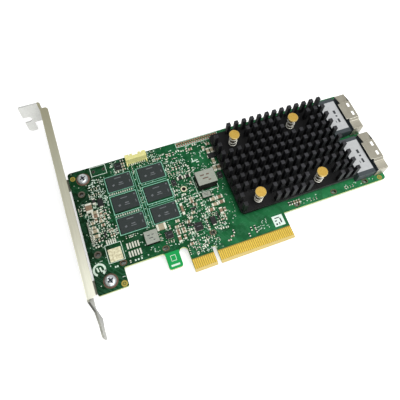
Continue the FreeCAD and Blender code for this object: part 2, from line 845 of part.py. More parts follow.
tiny_resistors = [
    (48.45, 51.6, 6, (1.5, 0.0), False), (48.95, 53.6, 2, (1.4, 0.0), True),
    (53.55, 57.0, 3, (1.4, 0.0), False), (53.85, 60.0, 2, (1.6, 0.0), True),
    (13.95, 59.4, 2, (0.0, 1.4), True), (9.55, 56.4, 3, (1.3, 0.0), False),
    (7.75, 53.2, 5, (1.2, 0.0), False), (1.55, 44.2, 3, (0.0, 1.2), True),
    (1.15, 47.7, 2, (1.3, 0.0), False), (9.35, 33.8, 2, (1.2, 0.0), False),
    (19.15, 26.6, 4, (1.5, 0.0), False), (36.55, 17.8, 4, (1.2, 0.0), False),
    (34.75, 22.6, 3, (0.0, -1.5), True), (48.55, 18.4, 2, (0.0, 1.8), True),
    (32.15, 61.6, 2, (0.0, -2.0), False), (71.35, 64.4, 3, (1.3, 0.0), False),
    (62.15, 24.3, 3, (1.2, 0.0), False), (69.75, 36.4, 1, (0.0, 0.0), False),
    (112.15, 15.0, 3, (1.6, 0.0), False), (132.15, 15.2, 4, (1.5, 0.0), False),
]
tiny_resistors_on_tongue = [
    (0.75, 9.0, 3, (0.0, 1.9), False), (3.75, 8.2, 2, (0.0, 2.0), False),
    (5.95, 8.8, 4, (0.0, 1.7), False), (8.95, 11.2, 2, (1.6, 0.0), False),
    (10.25, 13.6, 4, (1.3, 0.0), False), (14.55, 11.6, 2, (1.5, 0.0), False),
]
resistor_arrays = [
    (53.55, 48.0, 2, (3.9, 0.0), True), (9.15, 49.6, 1, (0.0, 0.0), False),
]
power_diodes = [(12.15, 47.8, False), (61.45, 20.8, False), (73.45, 55.0, True)]
transistors = [(49.95, 22.4, True), (54.35, 30.0, True), (64.55, 22.0, False), (10.25, 31.2, False)]


def row_of_parts(case, rows, rows_on_tongue=()):
    """Blocks of one case size, placed in the rows given."""
    length, width, thick = case
    made = []
    for start, part_rows in ((board_left, rows), (tongue_left, rows_on_tongue)):
        for inset, y, count, step, along_x in part_rows:
            size_x, size_y = (length, width) if along_x else (width, length)
            made += [centred_block(start + inset + i * step[0], y + i * step[1], size_x, size_y,
                                   0, thick) for i in range(count)]
    return made


def turned_blocks(places, size):
    length, width, thick = size
    return [package(inset, y, length if along_x else width, width if along_x else length, thick)
            for inset, y, along_x in places]


def back_capacitors():
    """Decoupling capacitors on the solder side, under the controller."""
    length, width, thick = case_small
    made = []
    for row in range(3):
        for column in range(4):
            x = chip_centre_x + (column - 1.5) * 4.2
            y = chip_centre_y + (row - 1) * 4.2
            made.append(box(x - length / 2, x + length / 2, y - width / 2, y + width / 2,
                            -board_thick - thick, -board_thick))
    return made


save("circuit_board", board())
save("edge_contacts_front", edge_contacts(0))
save("edge_contacts_back", edge_contacts(-board_thick - contact_thick))
save("io_bracket", bracket())
save("bracket_screws", [bracket_screw(x, y) for x, y in screws])

save("controller_package", centred_block(chip_centre_x, chip_centre_y, package_size, package_size,
                                         0, lid_z))
save("controller_lid", centred_block(chip_centre_x, chip_centre_y, lid_size, lid_size,
                                     lid_z, pad_z))
save("thermal_pad", centred_block(chip_centre_x, chip_centre_y, pad_size, pad_size,
                                  pad_z, sink_base_z))
save("heatsink", heatsink())
save("push_pins", [push_pin(x, y) for x, y in push_pins])
save("push_pin_springs", [spring(x, y) for x, y in push_pins])

for number, (x, y) in enumerate(memory_places(), 1):
    save("memory_chip_" + str(number), centred_block(x, y, memory_width, memory_height, 0,
                                                     memory_thick))

for number, low in enumerate(port_lows, 1):
    save("port_housing_" + str(number), housing(low))
    save("port_shell_" + str(number), shell(low))
    save("port_contacts_" + str(number), port_contact_rows(low))
    save("port_label_" + str(number), port_label(low))

save("battery_header", header_body())
save("battery_header_contacts", header_contacts())
save("inductor_large", coil_body(*coil_large))
save("inductor_small", coil_body(*coil_small))
save("inductor_mini", coil_body(*coil_mini))
save("regulator_chip", package(*chip_regulator))
save("monitor_chip", package(*chip_monitor))
save("charger_chip", package(*chip_charger))
save("flash_chip", package(*chip_flash))
save("clock_chip", package(*chip_clock))
save("power_diodes", turned_blocks(power_diodes, diode_body))
save("transistors", turned_blocks(transistors, transistor_body))
save("large_capacitors", row_of_parts(case_large, large_capacitors))
save("middle_capacitors", row_of_parts(case_middle, middle_capacitors, middle_capacitors_on_tongue))
save("small_capacitors", row_of_parts(case_small, small_capacitors, small_capacitors_on_tongue))
save("tiny_resistors", row_of_parts(case_tiny, tiny_resistors, tiny_resistors_on_tongue))
save("resistor_arrays", row_of_parts(case_large, resistor_arrays))
save("back_capacitors", back_capacitors())
save("inspection_sticker", box(sticker_left, sticker_left + sticker_size, sticker_low,
                               sticker_low + sticker_size, 0, sticker_thick))
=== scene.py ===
import math
import random

import bmesh
import bpy
from mathutils import Matrix, Vector


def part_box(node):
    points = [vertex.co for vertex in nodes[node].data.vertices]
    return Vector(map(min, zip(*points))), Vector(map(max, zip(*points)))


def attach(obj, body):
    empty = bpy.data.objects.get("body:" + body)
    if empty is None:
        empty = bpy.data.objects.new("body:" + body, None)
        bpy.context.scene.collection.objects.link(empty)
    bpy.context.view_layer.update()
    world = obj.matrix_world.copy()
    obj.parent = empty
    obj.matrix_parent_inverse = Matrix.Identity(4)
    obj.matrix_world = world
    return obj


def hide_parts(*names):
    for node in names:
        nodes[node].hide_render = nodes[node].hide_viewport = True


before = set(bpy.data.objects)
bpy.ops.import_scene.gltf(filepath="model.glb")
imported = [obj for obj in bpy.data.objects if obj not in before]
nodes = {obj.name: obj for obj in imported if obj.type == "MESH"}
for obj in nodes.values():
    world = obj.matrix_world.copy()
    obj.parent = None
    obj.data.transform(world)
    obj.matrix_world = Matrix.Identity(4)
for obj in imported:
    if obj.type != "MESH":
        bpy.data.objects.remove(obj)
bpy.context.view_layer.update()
print("frame loaded")

mm = 0.001


def boxOf(nodeName):
    return [Vector(corner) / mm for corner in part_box(nodeName)]


def srgb(red, green, blue):
    channels = [value / 255 for value in (red, green, blue)]
    return tuple(c / 12.92 if c <= 0.04045 else ((c + 0.055) / 1.055) ** 2.4 for c in channels) + (1.0,)


class Wire:
    # one output socket; an expression on it adds its Math nodes
    def __init__(self, graph, socket):
        self.graph = graph
        self.socket = socket

    def math(self, operation, *values):
        return self.graph.math(operation, *values)

    def __add__(self, other):
        return self.math("ADD", self, other)

    def __radd__(self, other):
        return self.math("ADD", other, self)

    def __sub__(self, other):
        return self.math("SUBTRACT", self, other)

    def __rsub__(self, other):
        return self.math("SUBTRACT", other, self)

    def __mul__(self, other):
        return self.math("MULTIPLY", self, other)

    def __rmul__(self, other):
        return self.math("MULTIPLY", other, self)

    def __gt__(self, other):
        return self.math("GREATER_THAN", self, other)

    def __lt__(self, other):
        return self.math("LESS_THAN", self, other)


class Graph:
    # a node tree, emptied; every node comes from one method
    def __init__(self, tree):
        self.tree = tree
        tree.nodes.clear()

    def node(self, kind, settings, sockets):
        made = self.tree.nodes.new(kind)
        for key, value in settings.items():
            if key == "stops":
                ramp = made.color_ramp
                while len(ramp.elements) < len(value):
                    ramp.elements.new(0.5)
                for element, (position, colour) in zip(ramp.elements, value):
                    element.position = position
                    element.color = colour
            else:
                setattr(made, key, value)
        for key, value in sockets.items():
            if isinstance(value, Wire):
                self.tree.links.new(value.socket, made.inputs[key])
            else:
                made.inputs[key].default_value = value
        return made

    def wire(self, kind, settings, sockets, output=0):
        return Wire(self, self.node(kind, settings, sockets).outputs[output])

    def math(self, operation, *values):
        return self.wire("ShaderNodeMath", {"operation": operation}, dict(enumerate(values)))


class Paint(Graph):
    # one material: a Principled shader and what feeds it, in millimetres of the part's own frame
    def __init__(self, name, **constants):
        self.material = bpy.data.materials.new(name)
        self.material.use_nodes = True
        super().__init__(self.material.node_tree)
        self.shader = self.node("ShaderNodeBsdfPrincipled", {}, constants)
        self.surface = Wire(self, self.shader.outputs[0])
        self.output = self.node("ShaderNodeOutputMaterial", {}, {"Surface": self.surface})
        where = self.wire("ShaderNodeTexCoord", {}, {}, "Object")
        self.place = self.wire("ShaderNodeVectorMath", {"operation": "SCALE"}, {0: where, "Scale": 1 / mm})

    def feed(self, **links):
        names = {"colour": "Base Color", "roughness": "Roughness", "metallic": "Metallic",
                 "normal": "Normal"}
        for key, value in links.items():
            self.tree.links.new(value.socket, self.shader.inputs[names[key]])
        return self

    def noise(self, scale, detail=2.0, stretch=(1, 1, 1)):
        where = self.place
        if stretch != (1, 1, 1):
            where = self.wire("ShaderNodeVectorMath", {"operation": "MULTIPLY"}, {0: where, 1: stretch})
        return self.wire("ShaderNodeTexNoise", {}, {"Vector": where, "Scale": scale, "Detail": detail})

    def ramp(self, value, *stops):
        return self.wire("ShaderNodeValToRGB", {"stops": stops}, {0: value})

    def span(self, value, low, high):
        return self.wire("ShaderNodeMapRange", {}, {"Value": value, "From Min": low, "From Max": high})

    def blend(self, factor, first, second):
        return self.wire("ShaderNodeMix", {"data_type": "RGBA"}, {0: factor, 6: first, 7: second}, 2)

    def axes(self):
        split = self.node("ShaderNodeSeparateXYZ", {}, {0: self.place})
        return [Wire(self, socket) for socket in split.outputs]

    def cellMask(self, x, y, stepX, stepY, shareX, shareY, kept):
        # small rectangles on a grid, a random share of them kept
        column = self.math("FLOOR", x * (1 / stepX))
        row = self.math("FLOOR", y * (1 / stepY))
        cell = self.wire("ShaderNodeCombineXYZ", {}, {0: column, 1: row, 2: 0.0})
        chance = self.wire("ShaderNodeTexWhiteNoise", {}, {"Vector": cell})
        inX = self.math("FRACT", x * (1 / stepX)) < shareX
        inY = self.math("FRACT", y * (1 / stepY)) < shareY
        return inX * inY * (chance < kept)

    def inside(self, x, y, left, right, low, high):
        # 1 in a rectangle of the board's plane, 0 outside it
        return (x > left) * (x < right) * (y > low) * (y < high)

    def bump(self, height, strength, depth):
        return self.wire("ShaderNodeBump", {}, {"Height": height, "Strength": strength,
                                                "Distance": depth * mm})


def plainPaint(name, colour, shade, rough, grain, strength, metallic=0.0, gloss=0.5, stretch=(1, 1, 1)):
    # two shades, a little change of gloss and a fine surface grain
    paint = Paint(name, Metallic=metallic, **{"Specular IOR Level": gloss})
    cloud = paint.noise(grain * 0.25, 3.0, stretch)
    fine = paint.noise(grain, 2.0, stretch)
    tone = paint.span(cloud, 0.3, 0.7)
    return paint.feed(colour=paint.blend(tone, srgb(*shade), srgb(*colour)),
                      roughness=paint.span(fine, 0.25, 0.75) * (0.35 * rough) + 0.82 * rough,
                      normal=paint.bump(fine, strength, 0.05)).material


# the board: solder resist over copper, bare gold and laminate at the edge connector
boardLook = {
    "deep": srgb(5, 38, 14), "green": srgb(12, 84, 44), "pale": srgb(40, 122, 72),
    "trace": srgb(104, 176, 138), "dark": srgb(2, 20, 8), "window": srgb(22, 152, 76),
    "edge": srgb(206, 216, 158), "bare": srgb(150, 126, 56), "bevel": srgb(204, 183, 116),
    "speck": srgb(222, 240, 216), "trackPitch": 0.66, "gridX": 0.98, "gridY": 0.70,
    "busy": [(-54.5, -41.5, 25.5, 51.0), (-9.5, 10.5, 14.0, 44.5), (-9.5, 1.0, 46.0, 60.0),
             (-10.5, 4.5, 7.2, 14.0),
             (-36.0, -10.5, 60.9, 68.5), (-26.4, -23.9, 28.0, 60.6)],
    "hole": srgb(64, 50, 38), "fanZone": (-58.0, -41.0, 0.0, 22.0), "hookZone": (-23.4, -16.3, -1.0, 12.9),
    "holeZone": (-55.2, 96.0, 14.2, 67.5), "tongue": (-12.2, 39.2), "bareTop": 6.3, "bevelTop": 1.25,
}


def boardPaint():
    look = boardLook
    paint = Paint("solderResist", **{"Specular IOR Level": 0.10})
    x, y = paint.axes()[:2]
    # painted light and shade: the resist is darker toward the left and top and paler toward the lower right,
    # as the light fell across the board
    paintedLightAcross = paint.span(x - 0.2 * y, -64.0, 60.0)
    cloud = paint.noise(0.10, 3.0)
    tone = paintedLightAcross * 0.80 + paint.span(cloud, 0.3, 0.7) * 0.28 - 0.04
    green = paint.ramp(tone, (0.08, look["deep"]), (0.45, look["green"]), (0.95, look["pale"]))
    # copper areas, and tracks that run level or at 45 degrees in patches
    copper = paint.span(paint.noise(0.14, 1.0), 0.49, 0.51)
    green = paint.blend(0.22 * copper, green, look["dark"])
    patch = paint.noise(0.13, 0.0)
    pitch = look["trackPitch"]
    slanted = paint.math("PINGPONG", (x + y) * 0.7, pitch / 2) > 0.33 * pitch
    level = paint.math("PINGPONG", y, pitch / 2) > 0.33 * pitch
    tracks = slanted * (patch > 0.54) + level * (patch < 0.44)
    tracks = tracks * (paint.noise(0.42, 1.0) > 0.47)
    fan = (paint.math("PINGPONG", x + 0.8 * y, 1.1) > 0.75) * paint.inside(x, y, *look["fanZone"])
    tracks = paint.math("MAXIMUM", tracks, fan * 0.6)
    busy = 0.0
    for zone in look["busy"]:
        busy = paint.inside(x, y, *zone) + busy
    busy = busy > 0.5
    green = paint.blend(tracks * (busy * 0.30 + 0.14), green, look["trace"])
    # painted shade: dark blotches where the parts stand close, in the gaps between them
    green = paint.blend(busy * (paint.noise(0.9, 1.0) > 0.52) * 0.45, green, look["dark"])
    # tiny bare pads and print where the parts stand close
    pads = paint.cellMask(x, y, look["gridX"], look["gridY"], 0.50, 0.50, 0.36)
    dense = paint.noise(0.35, 1.0) > 0.52
    specks = pads * dense * busy
    green = paint.blend(0.9 * specks, green, look["speck"])
    vias = paint.cellMask(x + 0.3, y + 0.2, 1.9, 1.7, 0.20, 0.22, 0.20) * (y > 15.0) * (x < 17.0)
    green = paint.blend(0.75 * vias, green, look["speck"])
    # the hook has no copper under it, so it shows bright
    green = paint.blend(paint.inside(x, y, *look["hookZone"]), green, look["window"])
    left, right = look["tongue"]
    tongue = (x > left) * (x < right)
    green = paint.blend(tongue * (y < look["bareTop"]), green, look["bare"])
    green = paint.blend(tongue * (y < look["bevelTop"]), green, look["bevel"])
    facing = paint.wire("ShaderNodeNewGeometry", {}, {}, "Normal")
    upright = paint.wire("ShaderNodeSeparateXYZ", {}, {0: facing}, 2)
    side = paint.math("ABSOLUTE", upright) < 0.5
    green = paint.blend(side * (y > 0.9), green, look["edge"])
    # hole walls: plated copper, darkened further with painted shade inside the holes
    green = paint.blend(side * paint.inside(x, y, *look["holeZone"]), green, look["hole"])
    fine = paint.noise(6.0, 2.0)
    height = tracks * 0.6 + copper * 0.5 + fine * 0.25 + specks * 0.6
    return paint.feed(colour=green, roughness=fine * 0.16 + 0.34 + 0.3 * side,
                      normal=paint.bump(height, 0.30, 0.04)).material


# colour, shade, roughness, grain, bump, metal, gloss and stretch of the grain
finishes = {
    "gold": ((220, 188, 72), (204, 170, 60), 0.36, 3.0, 0.10, 0.45),
    "tin": ((232, 232, 218), (204, 204, 188), 0.36, 4.0, 0.15, 0.4),
    "silk": ((224, 240, 226), (196, 218, 200), 0.65, 6.0, 0.10),
    "teal": ((150, 208, 184), (112, 178, 152), 0.65, 6.0, 0.10),
    "copperRing": ((114, 84, 68), (88, 64, 52), 0.5, 4.0, 0.12, 0.3),
    "dullRing": ((104, 96, 84), (78, 72, 62), 0.5, 4.0, 0.12, 0.2),
    "screw": ((222, 228, 230), (190, 196, 198), 0.24, 4.0, 0.06, 0.6),
    # the recess paint is dark: painted shade in the screws' cross recesses
    "recess": ((52, 66, 78), (36, 48, 60), 0.5, 4.0, 0.1, 0.2),
    "substrate": ((36, 84, 48), (26, 64, 38), 0.5, 3.0, 0.1),
    "lid": ((190, 190, 190), (168, 168, 168), 0.35, 3.0, 0.1, 0.8),
    "pad": ((150, 152, 160), (130, 132, 140), 0.85, 3.0, 0.2),
    "target": ((176, 158, 66), (150, 134, 54), 0.45, 3.0, 0.10, 0.2),
    "bareCopper": ((182, 128, 108), (146, 98, 82), 0.5, 4.0, 0.12, 0.2),
    "spring": ((232, 230, 218), (206, 204, 192), 0.26, 4.0, 0.05, 0.45),
    "epoxy": ((48, 55, 54), (38, 45, 44), 0.55, 7.0, 0.30, 0.0, 0.25),
    "darkEpoxy": ((34, 36, 36), (20, 22, 22), 0.5, 7.0, 0.3, 0.0, 0.3),
    "laser": ((108, 112, 114), (88, 92, 96), 0.7, 6.0, 0.15),
    "housing": ((62, 70, 74), (50, 58, 62), 0.5, 5.0, 0.15),
    "shell": ((182, 178, 162), (170, 165, 149), 0.34, 2.0, 0.04, 0.6, 0.5, (1, 0.3, 1)),
    # paler paints for the narrow chamfers: painted highlights along the edges of the port shells, fins and
    # bracket
    "shellEdgeHighlight": ((238, 236, 222), (222, 220, 204), 0.3, 2.0, 0.04, 0.4),
    "finEdgeHighlight": ((72, 74, 76), (50, 51, 53), 0.4, 4.0, 0.1, 0.2),
    "plateEdgeHighlight": ((236, 236, 226), (214, 214, 200), 0.3, 2.0, 0.04, 0.4),
    "label": ((190, 192, 193), (181, 183, 185), 0.5, 2.0, 0.04),
    "sticker": ((228, 244, 234), (220, 236, 226), 0.5, 2.0, 0.04),
    "ink": ((50, 54, 58), (40, 44, 48), 0.6, 6.0, 0.1),
    "header": ((225, 222, 150), (217, 212, 138), 0.45, 3.0, 0.10),
    "core": ((158, 163, 151), (142, 147, 135), 0.60, 5.0, 0.3),
    "coreDark": ((26, 28, 24), (16, 18, 14), 0.65, 5.0, 0.3, 0.0, 0.2),
    "ceramic": ((150, 124, 98), (118, 96, 74), 0.45, 5.0, 0.15),
    "ceramicGrey": ((176, 166, 138), (150, 140, 114), 0.45, 5.0, 0.15),
    "glaze": ((32, 32, 30), (20, 20, 18), 0.35, 5.0, 0.12),
    "slug": ((240, 236, 204), (188, 178, 140), 0.4, 4.0, 0.4, 0.1),
    "ends": ((242, 244, 228), (208, 208, 190), 0.32, 6.0, 0.2, 0.2),
}

paints = {key: plainPaint(key, *finish) for key, finish in finishes.items()}
paints["board"] = boardPaint()


# the bracket: nickel plate with a painted reflection that greys it toward the top of the card, and painted
# shade on the inner face and the neck of the tongue
def bracketPaint():
    paint = Paint("nickelPlate", Metallic=0.5)
    x, y, z = paint.axes()
    # painted reflection: bright at the foot of the bracket and greying toward the top of the card
    fade = paint.span(y, -8.0, 98.0)
    steel = paint.ramp(fade, (0.0, srgb(250, 250, 234)), (0.13, srgb(249, 249, 229)),
                       (0.36, srgb(214, 212, 192)), (0.7, srgb(190, 189, 167)), (1.0, srgb(172, 168, 141)))
    tab = x < -61.2
    steel = paint.blend(tab, steel, srgb(222, 223, 219))
    # painted shade on the plate's inner face below the flange
    under = (z < 14.9) * (x > -60.8)
    steel = paint.blend(under * 0.8, steel, srgb(104, 105, 99))
    # painted shade: the tongue darkens toward its top, below the jog
    paintedNeckShade = (y < -0.5) * paint.span(y, -12.0, -4.0)
    steel = paint.blend(paintedNeckShade * 0.85, steel, srgb(72, 73, 68))
    brushed = paint.noise(1.6, 3.0, (1, 0.08, 1))
    return paint.feed(colour=paint.blend(paint.span(brushed, 0.3, 0.7) * 0.12, steel, srgb(110, 108, 94)),
                      roughness=brushed * 0.12 + 0.32,
                      normal=paint.bump(brushed, 0.08, 0.03)).material


paints["bracket"] = bracketPaint()


# the heatsink: black anodised, with painted light on the tops of the fins and on their fronts, and painted
# shade between them
def heatsinkPaint():
    paint = Paint("blackAnodised", Metallic=0.1, **{"Specular IOR Level": 0.25})
    x, y, z = paint.axes()
    fine = paint.noise(5.0, 3.0)
    top = paint.span(z, 12.4, 12.9)
    # painted shade: darker toward the base, deep between the fins
    foot = paint.span(z, 4.8, 10.0)
    black = paint.blend(foot, srgb(7, 7, 8), srgb(18, 18, 20))
    # painted light: faces turned to the front are paler, more so toward the lower right
    facing = paint.wire("ShaderNodeNewGeometry", {}, {}, "Normal")
    paintedLitFronts = paint.wire("ShaderNodeSeparateXYZ", {}, {0: facing}, 1) < -0.5
    black = paint.blend(paintedLitFronts * paint.span(x - y, 10.0, 75.0) * 0.9, black, srgb(66, 70, 70))
    # painted light on the fin tops: paler, mottled, and paler toward the right
    mottle = paint.span(paint.noise(0.8, 2.0), 0.30, 0.75)
    top = top * (mottle * 0.7 + 0.3) * (paint.span(x, 14.0, 46.0) * 0.6 + 0.4)
    black = paint.blend(top, black, srgb(62, 62, 66))
    return paint.feed(colour=black, roughness=fine * 0.18 + 0.40,
                      normal=paint.bump(fine, 0.2, 0.04)).material


paints["heatsink"] = heatsinkPaint()


# push pins: gold heads with a painted highlight on the chamfer, and painted shade on the shanks inside the
# springs
def pinPaint():
    paint = Paint("pinBrass", Metallic=0.5)
    z = paint.axes()[2]
    top = boxOf("push_pins")[1].z
    fine = paint.noise(2.0, 2.0)
    brass = paint.blend(paint.span(fine, 0.3, 0.7), srgb(202, 160, 68), srgb(216, 180, 84))
    # painted highlight: a pale band on the chamfer round the top of each head
    brass = paint.blend((z > top - 0.24) * (z < top - 0.015), brass, srgb(246, 230, 168))
    # painted shade: the shanks inside the springs are darker
    brass = paint.blend(z < top - 1.9, brass, srgb(96, 88, 72))
    return paint.feed(colour=brass, roughness=fine * 0.10 + 0.28,
                      normal=paint.bump(fine, 0.05, 0.05)).material


paints["brass"] = pinPaint()
print("materials made:", len(paints))


def spokes(steps):
    # directions evenly round a circle
    turns = [2 * math.pi * i / steps for i in range(steps)]
    return [(math.cos(turn), math.sin(turn)) for turn in turns]


class Form:
    # a mesh in millimetres, built from simple closed solids
    def __init__(self):
        self.points = []
        self.faces = []

    def shell(self, points, faces, paint):
        start = len(self.points)
        self.points += points
        self.faces += [([start + i for i in face], paint) for face in faces]

    def prism(self, outline, low, high, paint=0):
        n = len(outline)
        points = [(x, y, z) for z in (low, high) for x, y in outline]
        faces = [list(range(n))[::-1], list(range(n, 2 * n))]
        faces += [[i, (i + 1) % n, n + (i + 1) % n, n + i] for i in range(n)]
        self.shell(points, faces, paint)

    def block(self, low, high, paint=0):
        self.prism([(low[0], low[1]), (high[0], low[1]), (high[0], high[1]), (low[0], high[1])],
                   low[2], high[2], paint)

    def flat(self, x, y, sizeX, sizeY, low, thick, paint=0, turn=0.0):
        c, s = math.cos(math.radians(turn)), math.sin(math.radians(turn))
        corners = [(a * sizeX / 2, b * sizeY / 2) for a, b in ((-1, -1), (1, -1), (1, 1), (-1, 1))]
        self.prism([(x + a * c - b * s, y + a * s + b * c) for a, b in corners], low, low + thick, paint)

    def disc(self, x, y, radius, low, high, paint=0, steps=20):
        self.prism([(x + radius * c, y + radius * s) for c, s in spokes(steps)], low, high, paint)

    def sweep(self, points, n):
        # a closed solid from rings of n points, one ring after another
        last = len(points) - n
        faces = [[i + k, i + (k + 1) % n, i + n + (k + 1) % n, i + n + k]
                 for i in range(0, last, n) for k in range(n)]
        faces += [list(range(n))[::-1], list(range(last, last + n))]
        self.shell(points, faces, 0)

    def lathe(self, x, y, profile, steps):
        # a closed turned solid from (radius, z) points, lowest first
        self.sweep([(x + radius * c, y + radius * s, z)
                    for radius, z in profile for c, s in spokes(steps)], steps)

    def ring(self, x, y, inner, outer, low, high, paint=0, steps=28, stretch=0.0):
        # stretch adds a straight run along X between the two half rings
        points = []
        for radius, z in ((outer, low), (outer, high), (inner, high), (inner, low)):
            for c, s in spokes(steps):
                shift = stretch / 2 * (1 if c > 0 else -1)
                points.append((x + shift + radius * c, y + radius * s, z))
        faces = []
        for band in range(4):
            after = (band + 1) % 4
            for i in range(steps):
                k = (i + 1) % steps
                faces.append([band * steps + i, band * steps + k, after * steps + k, after * steps + i])
        self.shell(points, faces, paint)

    def arc(self, x, y, inner, outer, start, end, low, high, steps=24):
        # part of a flat ring, from one angle to another in degrees
        turns = [math.radians(start + (end - start) * i / steps) for i in range(steps + 1)]
        outline = [(x + outer * math.cos(a), y + outer * math.sin(a)) for a in turns]
        outline += [(x + inner * math.cos(a), y + inner * math.sin(a)) for a in reversed(turns)]
        n, last = len(outline), 2 * steps + 1
        points = [(px, py, z) for z in (low, high) for px, py in outline]
        faces = [[i, (i + 1) % n, n + (i + 1) % n, n + i] for i in range(n)]
        for i in range(steps):
            faces.append([n + i, n + i + 1, n + last - i - 1, n + last - i])
            faces.append([i + 1, i, last - i, last - i - 1])
        self.shell(points, faces, 0)

    def frameLine(self, left, right, low, high, z, thick, width):
        self.block((left, low, z), (right, low + width, z + thick))
        self.block((left, high - width, z), (right, high, z + thick))
        self.block((left, low + width, z), (left + width, high - width, z + thick))
        self.block((right - width, low + width, z), (right, high - width, z + thick))

    def piece(self, name, slot, paintNames, replaced=(), bevel=0.0, smooth=25):
        mesh = bpy.data.meshes.new(name)
        mesh.from_pydata([Vector(point) * mm for point in self.points], [], [f for f, _ in self.faces])
        for paintName in paintNames:
            mesh.materials.append(paints[paintName])
        for polygon, (_, paint) in zip(mesh.polygons, self.faces):
            polygon.material_index = paint
        work = bmesh.new()
        work.from_mesh(mesh)
        return finishPiece(name, work, mesh, replaced, bevel, smooth)


def finishPiece(name, work, mesh, replaced, bevel, smooth=25, edge=0):
    # edges over 40 degrees get a narrow chamfer; round walls stay smooth
    if bevel:
        sharp = [e for e in work.edges
                 if len(e.link_faces) == 2 and e.calc_face_angle(0) > math.radians(40)]
        made = bmesh.ops.bevel(work, geom=sharp, offset=bevel * mm, segments=1, affect="EDGES",
                               clamp_overlap=True, profile=0.5, material=-1)
        # the chamfer faces can take a paint of their own, a painted highlight
        for face in made["faces"] if edge else ():
            face.material_index = edge
    bmesh.ops.recalc_face_normals(work, faces=work.faces)
    work.to_mesh(mesh)
    work.free()
    for polygon in mesh.polygons:
        polygon.use_smooth = True
    mesh.set_sharp_from_angle(angle=math.radians(smooth))
    piece = bpy.data.objects.new(name, mesh)
    bpy.context.scene.collection.objects.link(piece)
    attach(piece, "root")
    if replaced:
        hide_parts(*replaced)
    return piece


def welded(nodeName):
    # the node's mesh in millimetres with its shared corners joined
    work = bmesh.new()
    work.from_mesh(nodes[nodeName].data)
    bmesh.ops.remove_doubles(work, verts=work.verts, dist=0.0005 * mm)
    return work


def softened(nodeName, pieceName, paintName, bevel, highlightPaintName=None):
    # the node's own shape with its flat faces joined up and its edges broken; a second paint, when given,
    # goes on the chamfer faces as a painted highlight
    work = welded(nodeName)
    bmesh.ops.dissolve_limit(work, angle_limit=math.radians(1), verts=work.verts, edges=work.edges)
    mesh = bpy.data.meshes.new(pieceName)
    for face in work.faces:
        face.material_index = 0
    for name in (paintName, highlightPaintName):
        if name:
            mesh.materials.append(paints[name])
    return finishPiece(pieceName, work, mesh, [nodeName], bevel, 25, 1 if highlightPaintName else 0)


def islands(nodeName):
    # lowest and highest corner of each separate solid of a node, in millimetres
    work = welded(nodeName)
    work.verts.ensure_lookup_table()
    seen = set()
    found = []
    for start in work.verts:
        if start.index in seen:
            continue
        seen.add(start.index)
        reach, group = [start], []
        while reach:
            vertex = reach.pop()
            group.append(vertex.co / mm)
            for edge in vertex.link_edges:
                other = edge.other_vert(vertex)
                if other.index not in seen:
                    seen.add(other.index)
                    reach.append(other)
        found.append((Vector([min(p[k] for p in group) for k in range(3)]),
                      Vector([max(p[k] for p in group) for k in range(3)])))
    work.free()
    return sorted(found, key=lambda pair: (round(pair[0].x, 2), round(pair[0].y, 2)))


# nodes that keep their own mesh and only take a material
for nodeName, paintName in {
        "circuit_board": "board", "edge_contacts_front": "gold", "edge_contacts_back": "gold",
        "port_contacts_1": "gold", "port_contacts_2": "gold", "controller_package": "substrate",
        "controller_lid": "lid", "thermal_pad": "pad"}.items():
    nodes[nodeName].data.materials.clear()
    nodes[nodeName].data.materials.append(paints[paintName])

softened("io_bracket", "slotBracket", "bracket", 0.10, "plateEdgeHighlight")
softened("heatsink", "finnedHeatsink", "heatsink", 0.12, "finEdgeHighlight")
softened("push_pins", "brassPins", "brass", 0.20)
softened("battery_header", "headerShroud", "header", 0.10)
softened("battery_header_contacts", "headerPins", "tin", 0.05)
for port in ("1", "2"):
    softened("port_housing_" + port, "portBody" + port, "housing", 0.12)
    softened("port_shell_" + port, "portShell" + port, "shell", 0.09, "shellEdgeHighlight")
print("main pieces made")

markRise = 0.012     # marks and print stand this far over the body that carries them


# springs: round wire, closed at both ends
springLook = {"turns": 4, "endPitch": 0.72, "wire": 0.28, "around": 10, "steps": 20}


def springPiece():
    look = springLook
    form = Form()
    for low, high in islands("push_pin_springs"):
        centre = (low + high) / 2
        radius = (high.x - low.x) / 2 - look["wire"] - 0.02
        bottom, top = low.z + look["wire"] + 0.02, high.z - look["wire"] - 0.02
        inner = look["turns"] - 2
        pitch = (top - bottom - 2 * look["endPitch"]) / inner
        points = []
        for i in range(look["turns"] * look["steps"] + 1):
            turn = i / look["steps"]
            opened = min(max(turn - 1, 0), inner)
            z = bottom + opened * pitch + (turn - opened) * look["endPitch"]
            out = Vector((math.cos(2 * math.pi * turn), math.sin(2 * math.pi * turn), 0))
            middle = Vector((centre.x, centre.y, z)) + out * radius
            for c, s in spokes(look["around"]):
                points.append(middle + out * (look["wire"] * c) + Vector((0, 0, look["wire"] * s)))
        form.sweep(points, look["around"])
    form.piece("pinSprings", "spring_steel", ["spring"], ["push_pin_springs"], 0.0, 60)


springPiece()


# memory chips: moulded body, laser marks and a dot at one corner
memoryLook = {
    "bevel": 0.12, "stand": 0.30, "columns": 13, "rows": 9, "margin": 0.6,
    "ball": 0.22, "dot": 0.42, "dotInset": 1.1,
}


